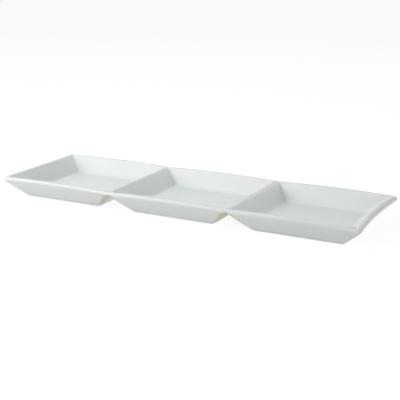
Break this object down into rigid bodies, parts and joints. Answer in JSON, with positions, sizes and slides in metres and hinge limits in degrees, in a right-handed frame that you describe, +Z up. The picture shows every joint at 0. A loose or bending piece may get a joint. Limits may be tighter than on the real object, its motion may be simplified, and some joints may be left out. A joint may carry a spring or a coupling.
{
  "type": "relish tray",
  "caption": "Long shallow glazed porcelain tray with square flared wells in a row, raised dividers between them and a rounded rim, standing on low foot rings.",
  "frame": {"origin": "centre of the tray's outline, on the table that the foot rings stand on", "axes": "+X along the row of wells, +Y to the tray's back, +Z up out of the wells"},
  "size_m": [0.3814, 0.1254, 0.0225],
  "materials": {
    "glaze": "glossy, cool white glaze",
    "bisque": "matte, unglazed"
  },
  "bodies": {
    "root": {"left_well": "glaze", "middle_well": "glaze", "right_well": "glaze", "left_divider": "glaze", "right_divider": "glaze", "left_foot_ring": "bisque", "middle_foot_ring": "bisque", "right_foot_ring": "bisque"}
  },
  "joints": []
}
